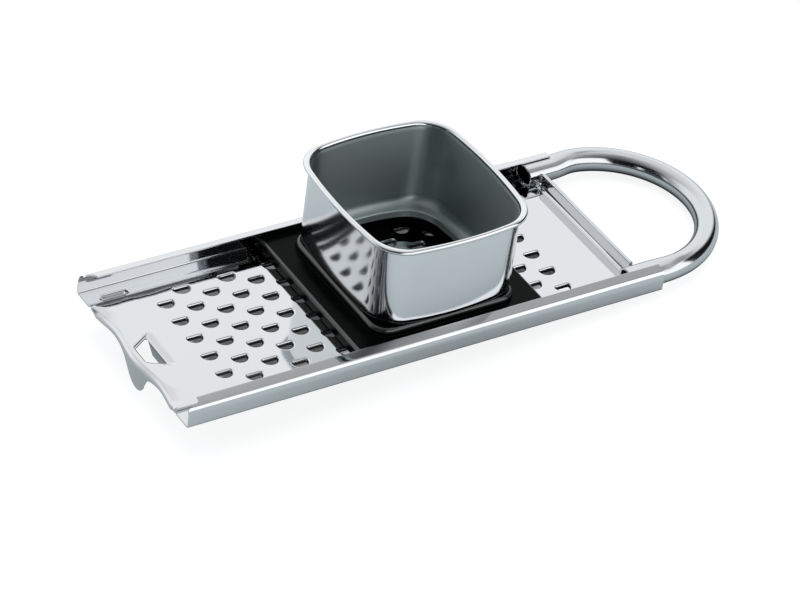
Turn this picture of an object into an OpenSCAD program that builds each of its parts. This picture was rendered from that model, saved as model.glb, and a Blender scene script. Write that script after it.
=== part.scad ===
// Spaetzle maker: a perforated steel tray with folded side rails, a bent tube handle,
// and a steel dough hopper that rides along the rails on a moulded carriage.
// Millimetres. +X runs towards the handle and +Z up.
// The origin is the middle of the perforated field, on the underside of the tray.

/* [Tray] */
// Width over both rails
tray_w = 108; // [96:1:132]
// Length of the rails
tray_len = 260; // [240:1:312]
// Height of the rails
rail_h = 10.7; // [9.5:0.1:13]
// Thickness of the sheet
sheet = 0.8; // [0.6:0.1:1]
// Width of the lip that each rail folds inwards
lip_w = 6.4; // [5.6:0.1:8]
// How far the lips are trimmed back at the front
lip_trim = 7; // [4:0.5:10]
// Front edge to the upturned rear flange
flange_x = 250; // [236:1:256]
// Height of the rear flange over the underside
flange_h = 8.3; // [6:0.1:9]
// How far the flange's rolled edge reaches down behind it
hem_h = 3; // [2:0.1:5]

/* [Drip holes] */
// Distance between neighbouring holes
hole_pitch = 14; // [13:0.1:15]
// Number of columns along the tray
hole_cols = 16; // [10:2:16]
// Radius of the half-round holes
hole_r = 4; // [3.2:0.1:4.4]
// Height of their straight side over the centre of the half circle
hole_chord = 0.4; // [0:0.1:1]
// Wall of the drawn edge round each hole
hole_wall = 0.7; // [0.5:0.1:0.8]
// Length of the drawn edge under each hole
hole_drop = 1; // [0.6:0.1:1.5]
// Front edge of the tray to the first column
first_col = 33.8; // [32:0.1:40]

/* [Front hook] */
// Depth of the skirt along the front edge
skirt_h = 4; // [3:0.1:6]
// Width of the skirt
skirt_w = 78; // [70:1:84]
// How low the hook reaches under the tray
hook_drop = 18.8; // [14:0.1:22]
// Width of the hook where it leaves the skirt
hook_w = 21; // [18:0.5:24]
// Angle at which the hook leans back
hook_lean = 15; // [5:1:18]
// Front edge to the fold of the pot tab
tab_x = 13; // [11:0.5:16]
// Width of the pot tab at its fold
tab_w = 21; // [16:0.5:24]
// Width of the pot tab at its end
tab_end_w = 10; // [8:0.5:14]
// Length of the pot tab
tab_len = 8; // [6:0.5:9]
// Length of the stop bumps
bump_len = 14.6; // [10:0.1:18]
// Width of the stop bumps
bump_w = 4; // [3:0.1:5]

/* [Handle] */
// Outside diameter of the tube
tube_d = 12; // [10:0.5:14]
// Wall of the tube
tube_wall = 1; // [0.8:0.1:1.5]
// Length of tube held inside each rail
tube_grip = 16; // [12:1:20]
// Straight tube between the rails and the bend
tube_lead = 5.6; // [2:0.1:20]

/* [Carriage] */
// Length of the carriage
carriage_len = 102.6; // [96:0.1:110]
// Height of the carriage top over the tray floor
carriage_h = 6.6; // [5.5:0.1:7.5]
// Clearance under the carriage
glide_gap = 0.2; // [0.1:0.05:0.4]
// Clearance at each side of the carriage
side_gap = 0.4; // [0.2:0.1:0.8]
// Wall of the moulding
mould_wall = 2; // [1.5:0.1:2.5]
// Height of the collar over the carriage top
collar_h = 4; // [3:0.1:5]
// Half length of the collar
collar_a = 39.3; // [38:0.1:42]
// Half width of the collar
collar_b = 41.8; // [40:0.1:44]
// Front edge of the tray to the middle of the carriage
carriage_x = 145.5; // [130:0.5:160]

/* [Hopper] */
// Half length of the hopper wall
hopper_a = 41.1; // [38:0.1:46]
// Half width of the hopper wall
hopper_b = 44.8; // [40:0.1:46.5]
// Radius of the hopper corners
hopper_r = 17; // [12:0.5:20]
// How far each side bows out
hopper_bow = 1.6; // [1:0.1:2.5]
// Height of the rim over the underside of the tray
rim_z = 58; // [45:0.5:70]
// Diameter of the rolled rim
rim_d = 3; // [2.4:0.1:3.6]
// Radius of the rounded bottom edge
base_r = 5; // [4:0.1:6]

/* [Hidden] */
$fn = 48;
eps = 0.01;
steel = [0.78, 0.80, 0.82];
black = [0.07, 0.08, 0.08];

// Tray: places along X are counted from the front edge
col_pitch = hole_pitch * sqrt(3) / 2;
front_x = -first_col - (hole_cols - 1) / 2 * col_pitch;
rear_x = front_x + tray_len;
flange_at = front_x + flange_x;
wall_y = tray_w / 2 - sheet;
lip_y = tray_w / 2 - lip_w;
lip_slant = 3;
bend_r = 1.6;
nose_r = 2.4;
nose_dip = 1.4;
dip_y = skirt_w / 4 + 3;
dip_r = 70;
hem_w = 2.5 * sheet;
bump_h = 0.7;
bump_y = tray_w / 2 - 9.5;
bump_front = front_x + 7.5;
hook_top = 2.2;
hook_tip_r = 6.2;
hook_blend_r = 8;

// Handle: the ends are pressed flat to fit between the tray floor and the lips
tube_r = tube_d / 2;
grip_gap = 0.05;
grip_h = rail_h - 2 * sheet - 2 * grip_gap;
grip_w = tube_d + (tube_d - grip_h) * 0.57;
tube_z = rail_h / 2;
leg_y = wall_y - grip_gap - grip_w / 2;
loop_r = wall_y - tube_r;
loop_x = rear_x + tube_lead;
neck_len = 5;
grip_front = rear_x - tube_grip;

// Carriage: it runs on the tray floor, between the rails and under the lips
floor_z = sheet;
carriage_z = floor_z + glide_gap;
top_z = floor_z + carriage_h;
carriage_at = front_x + carriage_x;
carriage_half = wall_y - side_gap;
runner_top = rail_h - sheet - glide_gap;
runner_in = lip_y + 1.2;
edge_r = 1.6;
collar_z = top_z + collar_h;
collar_r = 8;

// Hopper: its rounded bottom sits on the collar and its neck drops into the carriage
base_z = collar_z + 0.05;
neck_inset = base_r + sheet;
neck_z = floor_z + 7.6;
neck_gap = 0.1;
rim_r = rim_d / 2;
side_steps = 8;
corner_steps = 9;

// Points of a rectangle with round corners and slightly bowed sides
function bow_r(m, c) = (m * m + c * c - hopper_r * hopper_r) / (2 * hopper_bow);
function arc(cx, cy, r, a0, a1, n) =
    [for (i = [0:n - 1]) let (t = a0 + (a1 - a0) * i / n) [cx + r * cos(t), cy + r * sin(t)]];
function quarter(a, b) =
    let (cx = a - hopper_r - hopper_bow, cy = b - hopper_r - hopper_bow)
    let (rx = bow_r(cx - a, cy), ry = bow_r(cy - b, cx))
    let (tx = asin(cy / (rx - hopper_r)), ty = asin(cx / (ry - hopper_r)))
    concat(arc(a - rx, 0, rx, 0, tx, side_steps / 2),
           arc(cx, cy, hopper_r, tx, 90 - ty, corner_steps),
           arc(0, b - ry, ry, 90 - ty, 90, side_steps / 2));
function outline(d) =
    let (q = quarter(hopper_a + d, hopper_b + d))
    concat(q, other_quarters(q, d));
// The other three quarters, each a mirror image of the one before it
function other_quarters(q, d) =
    let (n = len(q))
    concat([[0, hopper_b + d]],
           [for (i = [n - 1:-1:1]) [-q[i][0], q[i][1]]],
           [[-(hopper_a + d), 0]],
           [for (i = [1:n - 1]) [-q[i][0], -q[i][1]]],
           [[0, -(hopper_b + d)]],
           [for (i = [n - 1:-1:1]) [q[i][0], -q[i][1]]]);

// Drip holes: staggered columns, half-round with the straight side across the tray
module half_round(grow) {
    r = hole_r + grow;
    intersection() {
        circle(r = r);
        translate([-2 * r, -2 * r]) square([4 * r, 2 * r + hole_chord + grow]);
    }
}

module each_hole() {
    for (c = [0:hole_cols - 1])
        let (n = 5 + c % 2, x = front_x + first_col + c * col_pitch)
            for (j = [0:n - 1])
                translate([x, (j - (n - 1) / 2) * hole_pitch + 0.4 * hole_r, 0]) children();
}

// One rail: outer wall, floor strip and folded lip, as a channel along X
module rail() {
    difference() {
        translate([front_x, 0, 0]) cube([tray_len, tray_w / 2, rail_h]);
        translate([front_x - 1, -1, sheet])
            cube([tray_len + 2, wall_y + 1, rail_h - 2 * sheet]);
        translate([front_x - 1, -1, sheet])
            cube([tray_len + 2, lip_y + 1, rail_h]);
        // rounded outer edges of the folds
        for (z = [0, 1])
            translate([front_x - 1, tray_w / 2, z * rail_h]) mirror([0, 0, z]) fold_cut();
        // slanted trim of the lip at the front
        translate([front_x, 0, rail_h - sheet - eps])
            linear_extrude(2 * sheet)
                polygon([[-1, 0], [lip_trim + lip_slant, 0], [lip_trim + lip_slant, lip_y],
                         [lip_trim, wall_y - bend_r / 2], [0.8, tray_w / 2 + 1], [-1, tray_w / 2 + 1]]);
    }
}

module fold_cut() {
    difference() {
        translate([0, -bend_r, -eps]) cube([tray_len + 2, bend_r + eps, bend_r + eps]);
        translate([-1, -bend_r, bend_r]) rotate([0, 90, 0]) cylinder(r = bend_r, h = tray_len + 4);
    }
}

// Front edge in plan: the flanks are drawn in between the middle and the corners
module front_cut() {
    for (s = [-1, 1])
        translate([front_x - dip_r + nose_dip, s * dip_y, -1]) cylinder(r = dip_r, h = 3, $fn = 96);
}

// Outline of the hook, drawn with X across the tray and Y down from the skirt
module hook_outline() {
    tip = (hook_drop - hook_top) / cos(hook_lean) - hook_tip_r;
    difference() {
        translate([-hook_w / 2 - hook_blend_r, 0])
            square([hook_w + 2 * hook_blend_r, skirt_h - sheet - hook_top + hook_blend_r]);
        for (s = [-1, 1])
            translate([s * (hook_w / 2 + hook_blend_r - 1), skirt_h - sheet - hook_top + hook_blend_r]) {
                circle(r = hook_blend_r);
                translate([s * 8, 0]) square([16, 2 * hook_blend_r], center = true);
            }
    }
    translate([0, tip]) circle(r = hook_tip_r);
    polygon([[-hook_w / 2 + 1, 0], [hook_w / 2 - 1, 0], [hook_tip_r, tip], [-hook_tip_r, tip]]);
}

// The skirt hangs straight down, and the hook leans back below it
module front_hook() {
    translate([front_x + nose_dip, -skirt_w / 2, sheet - skirt_h])
        cube([sheet, skirt_w, skirt_h]);
    translate([front_x + nose_dip, 0, -hook_top]) rotate([0, -hook_lean, 0])
        rotate([-90, 0, -90]) linear_extrude(sheet) hook_outline();
}

// Tab punched from the tray and folded down behind the hook, so a pot rim fits between
module tab_plan(grow) {
    polygon([[0, -tab_w / 2 - grow], [0, tab_w / 2 + grow],
             [-tab_len, tab_end_w / 2 + grow], [-tab_len, -tab_end_w / 2 - grow]]);
}

module pot_tab() {
    translate([front_x + tab_x + sheet, 0, sheet / 2])
        rotate([0, -90, 0]) linear_extrude(sheet) tab_plan(0);
}

module stop_bump() {
    for (s = [-1, 1]) translate([bump_front + bump_w / 2, s * bump_y, sheet - eps]) {
        cube_len = bump_len - bump_w;
        translate([0, -bump_w / 2, 0]) cube([cube_len, bump_w, bump_h]);
        cylinder(d = bump_w, h = bump_h);
        translate([cube_len, 0, 0]) cylinder(d = bump_w, h = bump_h);
    }
}

module rear_flange() {
    flange_half = leg_y - grip_w / 2 - 0.5;
    translate([flange_at, flange_half, 0]) rotate([90, 0, 0]) linear_extrude(2 * flange_half) {
        square([sheet, flange_h]);
        translate([sheet - eps, flange_h - sheet]) square([hem_w - sheet, sheet]);
        translate([hem_w - sheet, flange_h - hem_h]) square([sheet, hem_h]);
    }
}

module perforated_tray() {
    color(steel) {
        difference() {
            union() {
                for (s = [0, 1]) mirror([0, s, 0]) rail();
                each_hole() translate([0, 0, -hole_drop])
                    linear_extrude(hole_drop + sheet / 2) half_round(hole_wall);
            }
            each_hole() translate([0, 0, -hole_drop - 1])
                linear_extrude(hole_drop + sheet + 2) half_round(0);
            translate([front_x + tab_x, 0, -1]) linear_extrude(3) tab_plan(0.4);
            front_cut();
            // the floor ends at the rear flange
            translate([flange_at + sheet, -lip_y, -1])
                cube([tray_len - flange_x + 1, 2 * lip_y, 3]);
        }
        front_hook();
        pot_tab();
        stop_bump();
        rear_flange();
    }
}

// Section of the pressed ends, round at the sides and flat above and below
module stadium(h, w) {
    square([w - h, h], center = true);
    for (s = [-1, 1]) translate([s * (w - h) / 2, 0]) circle(d = h);
}

module leg(shrink, past) {
    h = grip_h - 2 * shrink;
    w = grip_w - 2 * shrink;
    translate([grip_front - past, leg_y, tube_z])
        rotate([90, 0, 90]) linear_extrude(tube_grip + past) stadium(h, w);
    hull() {
        for (t = [-1, 1]) translate([rear_x, leg_y + t * (w - h) / 2, tube_z])
            rotate([0, 90, 0]) cylinder(d = h, h = eps, $fn = 32);
        translate([rear_x + neck_len - eps, loop_r, tube_z])
            rotate([0, 90, 0]) cylinder(r = tube_r - shrink, h = eps, $fn = 32);
    }
}

module tube_handle() {
    color(steel) {
        for (s = [0, 1]) mirror([0, s, 0]) {
            difference() {
                leg(0, 0);
                leg(tube_wall, 1);
            }
            translate([rear_x + neck_len, loop_r, tube_z]) rotate([0, 90, 0])
                linear_extrude(tube_lead - neck_len) difference() {
                    circle(r = tube_r);
                    circle(r = tube_r - tube_wall);
                }
        }
        translate([loop_x, 0, tube_z]) rotate([0, 0, -90])
            rotate_extrude(angle = 180) translate([loop_r, 0]) difference() {
                circle(r = tube_r);
                circle(r = tube_r - tube_wall);
            }
    }
}

// Carriage: a shallow black moulding with a collar for the hopper
module rounded_plate(a, b, r, h) {
    for (x = [-1, 1], y = [-1, 1]) translate([x * (a - r), y * (b - r), 0]) cylinder(r = r, h = h);
    translate([-a + r, -b, 0]) cube([2 * (a - r), 2 * b, h]);
    translate([-a, -b + r, 0]) cube([2 * a, 2 * (b - r), h]);
}

module edge_rounding(y_half) {
    difference() {
        translate([0, -y_half, -edge_r]) cube([edge_r + 1, 2 * y_half, edge_r + 1]);
        translate([0, -y_half - 1, -edge_r]) rotate([-90, 0, 0]) cylinder(r = edge_r, h = 2 * y_half + 2);
    }
}

module carriage() {
    half = carriage_len / 2;
    color(black) translate([carriage_at, 0, 0]) difference() {
        union() {
            difference() {
                translate([-half, -carriage_half, carriage_z])
                    cube([carriage_len, 2 * carriage_half, top_z - carriage_z]);
                // hollow underside, open to the tray floor
                difference() {
                    translate([-half + mould_wall, -carriage_half + mould_wall, carriage_z - 1])
                        cube([carriage_len - 2 * mould_wall, 2 * (carriage_half - mould_wall),
                              top_z - mould_wall - carriage_z + 1]);
                    translate([0, 0, carriage_z - 2])
                        linear_extrude(carriage_h) polygon(outline(mould_wall - neck_inset));
                }
            }
            // runners under the lips keep the carriage down
            for (s = [0, 1]) mirror([0, s, 0])
                translate([-half, runner_in, carriage_z])
                    cube([carriage_len, carriage_half - runner_in, runner_top - carriage_z]);
            translate([0, 0, top_z - eps]) rounded_plate(collar_a, collar_b, collar_r, collar_h + eps);
        }
        translate([0, 0, carriage_z - 2])
            linear_extrude(collar_z + 3) polygon(outline(neck_gap - neck_inset));
        for (s = [0, 1]) mirror([s, 0, 0])
            translate([half - edge_r, 0, top_z]) edge_rounding(runner_in);
    }
}

// Hopper: one ring of points for each step of the wall's section
function turn(cx, cz, r, a0, a1, n) =
    [for (i = [0:n]) let (t = a0 + (a1 - a0) * i / n) [cx + r * cos(t), cz + r * sin(t)]];
curl_in = rim_r - sheet;
wall_top = rim_z - 2 * rim_r;
section = concat(
    [[-neck_inset, neck_z], [-neck_inset, base_z]],
    turn(-base_r, base_z + base_r, base_r, -90, 0, 6),
    [[0, wall_top]],
    turn(curl_in, rim_z - rim_r, rim_r, -60, 180, 10),
    turn(-base_r, base_z + base_r, base_r - sheet, 0, -90, 6),
    [[-neck_inset - sheet, base_z + sheet], [-neck_inset - sheet, neck_z]]);

module ring_solid(sec) {
    m = len(sec);
    n = len(outline(0));
    pts = [for (s = sec) for (p = outline(s[0])) [p[0], p[1], s[1]]];
    faces = [for (i = [0:m - 1], j = [0:n - 1])
        let (k = (i + 1) % m, l = (j + 1) % n)
        [i * n + j, k * n + j, k * n + l, i * n + l]];
    polyhedron(points = pts, faces = faces, convexity = 6);
}

module hopper() {
    color(steel) translate([carriage_at, 0, 0]) ring_solid(section);
}

perforated_tray();
tube_handle();
carriage();
hopper();
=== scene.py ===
# %% [markdown]
# # A spaetzle maker in polished steel
# A perforated steel tray hooks over the rim of a pot. A steel hopper full of dough rides along it on a
# black carriage, and drops fall through the holes. This lesson builds the looks of that tool over a
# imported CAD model, one piece at a time. The frame is loaded first, because every piece sits where the
# CAD says and moves with one of its two bodies, the frame or the slider.

# %% Load the CAD frame
import math
import bmesh, bpy
from mathutils import Euler, Matrix, Vector


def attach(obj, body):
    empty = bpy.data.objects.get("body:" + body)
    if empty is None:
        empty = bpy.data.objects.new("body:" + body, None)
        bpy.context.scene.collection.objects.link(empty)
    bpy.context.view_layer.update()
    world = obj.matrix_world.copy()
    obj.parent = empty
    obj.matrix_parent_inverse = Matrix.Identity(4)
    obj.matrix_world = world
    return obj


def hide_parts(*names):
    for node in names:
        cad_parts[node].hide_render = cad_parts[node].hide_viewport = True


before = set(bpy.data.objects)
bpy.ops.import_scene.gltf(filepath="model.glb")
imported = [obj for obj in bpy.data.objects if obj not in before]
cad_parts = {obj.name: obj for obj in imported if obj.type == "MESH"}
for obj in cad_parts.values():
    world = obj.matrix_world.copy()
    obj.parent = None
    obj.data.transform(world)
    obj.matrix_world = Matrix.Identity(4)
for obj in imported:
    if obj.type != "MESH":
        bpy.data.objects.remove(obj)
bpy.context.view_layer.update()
MM = 0.001

# %% [markdown]
# ## The camera
# The photograph was taken with a long lens from the front left, so the rails look almost parallel.
# The angles and the distance come from fitting the tray's corners, so the camera is placed by numbers
# and not by eye. A small roll tilts the picture, as the photographer did.

# %% Camera
LENS_MM, SENSOR_MM = 173.6, 36.0
CAMERA_AT = (-0.8426, -1.1829, 1.1028)
HEADING, DOWN, ROLL_ANGLE = -0.6308, 0.650, 0.141
cam_data = bpy.data.cameras.new("camera")
cam_data.lens, cam_data.sensor_width = LENS_MM, SENSOR_MM
camera = bpy.data.objects.new("camera", cam_data)
bpy.context.scene.collection.objects.link(camera)
look_down = Matrix.Rotation(math.pi / 2 - DOWN, 4, "X")
turn = Matrix.Rotation(HEADING, 4, "Z") @ look_down @ Matrix.Rotation(ROLL_ANGLE, 4, "Z")
camera.matrix_world = Matrix.Translation(CAMERA_AT) @ turn
bpy.context.scene.camera = camera
print("camera at", CAMERA_AT)

# %% [markdown]
# ## Real sizes
# All sizes are in millimetres, counted as in the CAD: X runs along the rails from the middle of the
# perforated field and Z starts at the underside of the tray. `FRONT` is the tray's front edge, so that
# lengths can be given from there, as on a workshop drawing. `NEAR` and `LEVEL` say how close a corner
# must be to a place to be selected there.

# %% Sizes of the tray
FRONT, LENGTH, HALF, SHEET = -124.73, 260.0, 54.0, 0.8
TOP, WALL = SHEET, HALF - SHEET
NEAR, LEVEL = 0.02, 0.01
print("tray", LENGTH, "by", 2 * HALF, "mm, and inside its walls", 2 * WALL)

# %% [markdown]
# ## Rings
# Most of this tool is sheet metal, and pressed sheet is easy to describe as a row of rings: the outline
# of a hole, the same outline a little wider, and so on. One helper lays the first ring from a circle
# primitive, and one extrudes it and puts the new corners in place. Points are rounded to a thousandth of
# a millimetre, so that a corner of the mesh can be found again by its place.

# %% Helpers for rings
def nothing_selected():
    if bpy.context.object and bpy.context.object.mode != "OBJECT":
        bpy.ops.object.mode_set(mode="OBJECT")
    bpy.ops.object.select_all(action="DESELECT")


def only(obj):
    """Makes this the one selected, active object."""
    nothing_selected()
    obj.select_set(True)
    bpy.context.view_layer.objects.active = obj


def lay_ring(name, ring):
    """A circle primitive with each of its corners put at a point of the ring, left open in edit mode."""
    nothing_selected()
    bpy.ops.mesh.primitive_circle_add(vertices=len(ring), radius=10 * MM, fill_type="NOTHING")
    obj = bpy.context.object
    obj.name = obj.data.name = name
    for corner, point in zip(obj.data.vertices, ring):
        corner.co = Vector(point) * MM
    bpy.ops.object.mode_set(mode="EDIT")
    bpy.ops.mesh.select_all(action="SELECT")
    return obj


def place_key(point):
    """Whole numbers that name a corner by its place."""
    return tuple(round(c * 1e4) for c in point)


def pull(obj, old, new):
    """Extrudes the selected edges once, and moves each new corner from its old point to its new one."""
    bpy.ops.mesh.extrude_edges_move()
    mesh = bmesh.from_edit_mesh(obj.data)
    goes = {place_key(p): q for p, q in zip(old, new)}
    for v in mesh.verts:
        if v.select:
            v.co = Vector(goes[place_key([c / MM for c in v.co])]) * MM
    bmesh.update_edit_mesh(obj.data)


def snap(points):
    return [tuple(round(c, 3) for c in p) for p in points]


def rings(name, loops):
    """A skin that runs from ring to ring, left open in edit mode."""
    obj = lay_ring(name, snap(loops[0]))
    for old, new in zip(loops, loops[1:]):
        pull(obj, snap(old), snap(new))
    return obj

# %% [markdown]
# ## Outlines
# A ring starts as a flat outline. These helpers draw an arc, round the corners of a polygon and give the
# parallel outline, which is what a punch, a fold or the thickness of a wall needs.

# %% Helpers for outlines
def grow(points, by):
    """The outline moved outwards by this much. The points run anticlockwise."""
    out = []
    for i, (x, y) in enumerate(points):
        last_x, last_y = points[i - 1]
        next_x, next_y = points[(i + 1) % len(points)]
        a = Vector((x - last_x, y - last_y)).normalized()
        b = Vector((next_x - x, next_y - y)).normalized()
        a_out, b_out = Vector((a.y, -a.x)), Vector((b.y, -b.x))
        n = (a_out + b_out).normalized()
        lean = max(0.5, n.dot(a_out))
        out.append((x + n.x * by / lean, y + n.y * by / lean))
    return out


def flat(points, z):
    """The outline laid flat at a height."""
    return [(x, y, z) for x, y in points]


def arc(cx, cy, r, start, stop, steps):
    """Points along an arc round (cx, cy), with its angles in degrees."""
    span = math.radians(stop - start)
    angles = [math.radians(start) + span * i / steps for i in range(steps + 1)]
    return [(cx + r * math.cos(a), cy + r * math.sin(a)) for a in angles]


def rounded(corners, r, steps=3):
    """A polygon, given anticlockwise, with its corners rounded. Each corner becomes steps + 1 points."""
    out = []
    for i, corner in enumerate(corners):
        c = Vector(corner)
        a = (Vector(corners[i - 1]) - c).normalized()
        b = (Vector(corners[(i + 1) % len(corners)]) - c).normalized()
        half = a.angle(b) / 2
        reach, centre = r / math.tan(half), c + (a + b).normalized() * r / math.sin(half)
        p, q = c + a * reach - centre, c + b * reach - centre
        for k in range(steps + 1):
            w = p.lerp(q, k / steps).normalized() * r + centre
            out.append((w.x, w.y))
    return out

# %% [markdown]
# ## Selecting and extruding
# With no window to click in, edges are selected by a test of their place. A sheet's open border is what
# gets extruded, so one helper looks only there.

# %% Helpers for edges
def join(objects):
    """Makes all of these one object, the first."""
    nothing_selected()
    for obj in objects:
        obj.select_set(True)
    bpy.context.view_layer.objects.active = objects[0]
    bpy.ops.object.join()
    return objects[0]


def choose(obj, test):
    """Selects the edges that a test of the edge and its two ends accepts, and counts them."""
    bpy.ops.mesh.select_all(action="DESELECT")
    mesh = bmesh.from_edit_mesh(obj.data)
    for e in mesh.edges:
        if test(e, [v.co / MM for v in e.verts]):
            e.select_set(True)
    bmesh.update_edit_mesh(obj.data)
    return sum(e.select for e in mesh.edges)


def choose_border(obj, place, axis=0, least=-1.0):
    """Selects the border edges with both ends at a place, which run along an axis by at least this much."""
    def accepts(e, p):
        runs = abs(p[0][axis] - p[1][axis]) > least
        return len(e.link_faces) == 1 and runs and all(place(v) for v in p)
    return choose(obj, accepts)


def extrude(dx=0.0, dy=0.0, dz=0.0):
    """Extrudes the selected edges and moves them by this many millimetres."""
    bpy.ops.mesh.extrude_edges_move(TRANSFORM_OT_translate={"value": (dx * MM, dy * MM, dz * MM)})

# %% [markdown]
# ## One drip hole
# A punch cuts each hole and draws its edge down, so the dough is sheared off cleanly. Seen from above it
# is a half circle with its straight side along the tray, and the sheet rolls over into it. One hole is
# modelled and then copied for all 88, because a real press tool does the same.

# %% Drip hole
HOLE_R, BOW_CENTRE, STRAIGHT_SIDE, TIP_R = 4.0, 1.6, 2.1, 0.5
ROLL, MARGIN, DROP = 0.9, 0.3, 1.5
bow = [p for p in arc(0, BOW_CENTRE, HOLE_R - 0.02, 176, 364, 16) if p[1] < BOW_CENTRE - 0.1]
tip_corners = [(HOLE_R, 1.2), (HOLE_R - 0.1, STRAIGHT_SIDE), (0, STRAIGHT_SIDE)]
tip = rounded(tip_corners, TIP_R)[4:8]
straight = [(x, STRAIGHT_SIDE) for x in (2.4, 1.2, 0, -1.2, -2.4)]
half_moon = bow + tip + straight + [(-x, y) for x, y in reversed(tip)]
hole_rings = [flat(grow(half_moon, ROLL + MARGIN), TOP), flat(grow(half_moon, ROLL), TOP)]
for angle in (18, 36, 54, 72, 90):
    s, c = math.sin(math.radians(angle)), math.cos(math.radians(angle))
    hole_rings.append(flat(grow(half_moon, ROLL * (1 - s)), TOP - ROLL * (1 - c)))
hole_rings.append(flat(half_moon, -DROP))
drip = rings("drip_hole", hole_rings)
bpy.ops.object.mode_set(mode="OBJECT")
print("corners of one hole", len(half_moon))

# %% [markdown]
# ## A field of holes
# The holes stand in a triangle pattern, each as far from all its neighbours. The columns hold five and
# six holes by turns.

# %% Field of holes
PITCH, FIRST_COLUMN, COLUMNS, FEWEST = 14.0, 33.8, 16, 5
COLUMN = PITCH * math.sqrt(3) / 2
places = [(FRONT + FIRST_COLUMN + c * COLUMN, (j - (FEWEST - 1 + c % 2) / 2) * PITCH)
          for c in range(COLUMNS) for j in range(FEWEST + c % 2)]
holes = [drip]
for x, y in places[1:]:
    one = drip.copy()
    one.data = drip.data.copy()
    one.location = (x * MM, y * MM, 0)
    bpy.context.scene.collection.objects.link(one)
    holes.append(one)
drip.location = (places[0][0] * MM, places[0][1] * MM, 0)
print("drip holes", len(holes))

# %% [markdown]
# ## The slot behind the hook
# A tab is cut on three sides and folded down behind the hook, and the rim of the pot goes between them.
# The cut leaves a hole with four slanted sides, and the press leaves the sheet dished round it. The dish
# is a smooth step, so its rings follow a smoothstep curve instead of a straight slope.

# %% Slot with its dish and the folded tab
SLOT_X, DISH, DISH_STEPS = FRONT + 13.1, 0.7, 10
TAB_STEPS = ((0.28, -0.35, 0.985), (0.3, -0.75, 0.965), (0.25, -1.6, 0.9),
             (0.2, -1.8, 0.86), (0.15, -1.6, 0.82), (0, -0.8, 0.86))


def ease_in(t):
    """A smoothstep: 0 up to 0, 1 from 1 on, and level at both ends."""
    t = min(1.0, max(0.0, t))
    return t * t * (3 - 2 * t)


def slanted(back, wide, ahead, narrow, r):
    """An outline with four sides, wide at the back and narrow ahead, with rounded corners."""
    return rounded([(back, -wide), (back, wide), (ahead, narrow), (ahead, -narrow)], r)


slot = slanted(SLOT_X, 10.6, SLOT_X - 8.3, 5.3, 0.5)
dished = slanted(FRONT + 17.2, 14.6, FRONT + 3.75, 6.6, 1.8)
slot_rings = [flat(grow(dished, 0.2), TOP)]
for k in range(DISH_STEPS + 1):
    t = k / DISH_STEPS
    between = [(ax + (bx - ax) * t, ay + (by - ay) * t) for (ax, ay), (bx, by) in zip(dished, slot)]
    slot_rings.append(flat(between, TOP - DISH * ease_in(t)))
dish = rings("slot", slot_rings)
choose_border(dish, lambda v: abs(v.x - SLOT_X) < NEAR and v.z < TOP - 0.6)
for back, down, narrower in TAB_STEPS:
    extrude(dx=back, dz=down)
    bpy.ops.transform.resize(value=(1, narrower, 1), center_override=(0, 0, 0))
print("rings of the dish", len(slot_rings))

# %% [markdown]
# ## The outline of the floor
# The flat floor ends where each fold begins. At the front the edge swings in and out again, so that the
# middle comes forward like a nose, and it carries the skirt and the hook. Its corners stand 0.65 mm
# apart there, close enough for a smooth lobe. The fold gets wider from the middle towards the corners,
# and at the very corners it fades out.

# %% Outline of the floor
NOSE_DIP, NOSE_HALF = 2.2, 44
SKIRT_HALF, SKIRT_END, THIN_FOLD = 40.6, 41, 0.35
STRIP_Y, COLUMN_STEPS = 41.2, 126
FLANGE_FOOT, FLANGE_Y, FLOOR_END = FRONT + 247.6, 38.6, FRONT + 250.8


def front_edge(y):
    """How far the front edge stands back at a place across the tray: most halfway to each rail."""
    y = abs(y)
    return NOSE_DIP * math.sin(math.pi * y / NOSE_HALF) ** 2 if y < NOSE_HALF else 0.0


def fold_share(y):
    """How much of the full front fold there is, from 1 to a thin one near the rails and none beyond."""
    inwards = (SKIRT_HALF - abs(y)) / 5
    return THIN_FOLD + (1 - THIN_FOLD) * ease_in(inwards) if abs(y) < SKIRT_END else 0.0


def bend_width(y):
    """How far behind the front edge the sheet starts to droop: little in the middle and more beside it."""
    return (2.5 + 4.5 * ease_in((abs(y) - 20) / 12)) * fold_share(y)


columns = [-STRIP_Y + 2 * STRIP_Y * k / COLUMN_STEPS for k in range(COLUMN_STEPS + 1)]
columns[0], columns[-1] = -STRIP_Y, STRIP_Y
front = [(FRONT + front_edge(y) + bend_width(y), y) for y in reversed(columns)]
stations = [1.5, 3, 5] + [5.7 + 0.7 * k for k in range(27)] + [26, 30, 90, 170, 240]
near_side = [(FRONT + x, -STRIP_Y) for x in stations]
foot = [(FLANGE_FOOT, y) for y in (-FLANGE_Y, -20, 0, 20, FLANGE_Y)]
rear = [(FLOOR_END, -STRIP_Y), (FLOOR_END, -FLANGE_Y - 0.1)] + foot
rear += [(FLOOR_END, FLANGE_Y + 0.1), (FLOOR_END, STRIP_Y)]
far_side = [(x, STRIP_Y) for x, _ in reversed(near_side)]
floor_edge = lay_ring("tray_sheet", snap(flat(front + near_side + rear + far_side, TOP)))
tray = join([floor_edge, dish] + holes)
bpy.ops.object.transform_apply(location=True, rotation=True, scale=True)
bpy.ops.object.mode_set(mode="EDIT")
bpy.ops.mesh.select_all(action="SELECT")
bpy.ops.mesh.remove_doubles(threshold=0.02 * MM)
open_edges = choose(tray, lambda e, p: len(e.link_faces) < 2 and all(abs(v.z - TOP) < LEVEL for v in p))
bpy.ops.mesh.fill(use_beauty=True)
print("edges round the floor", open_edges, "faces now", len(bmesh.from_edit_mesh(tray.data).faces))

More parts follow.
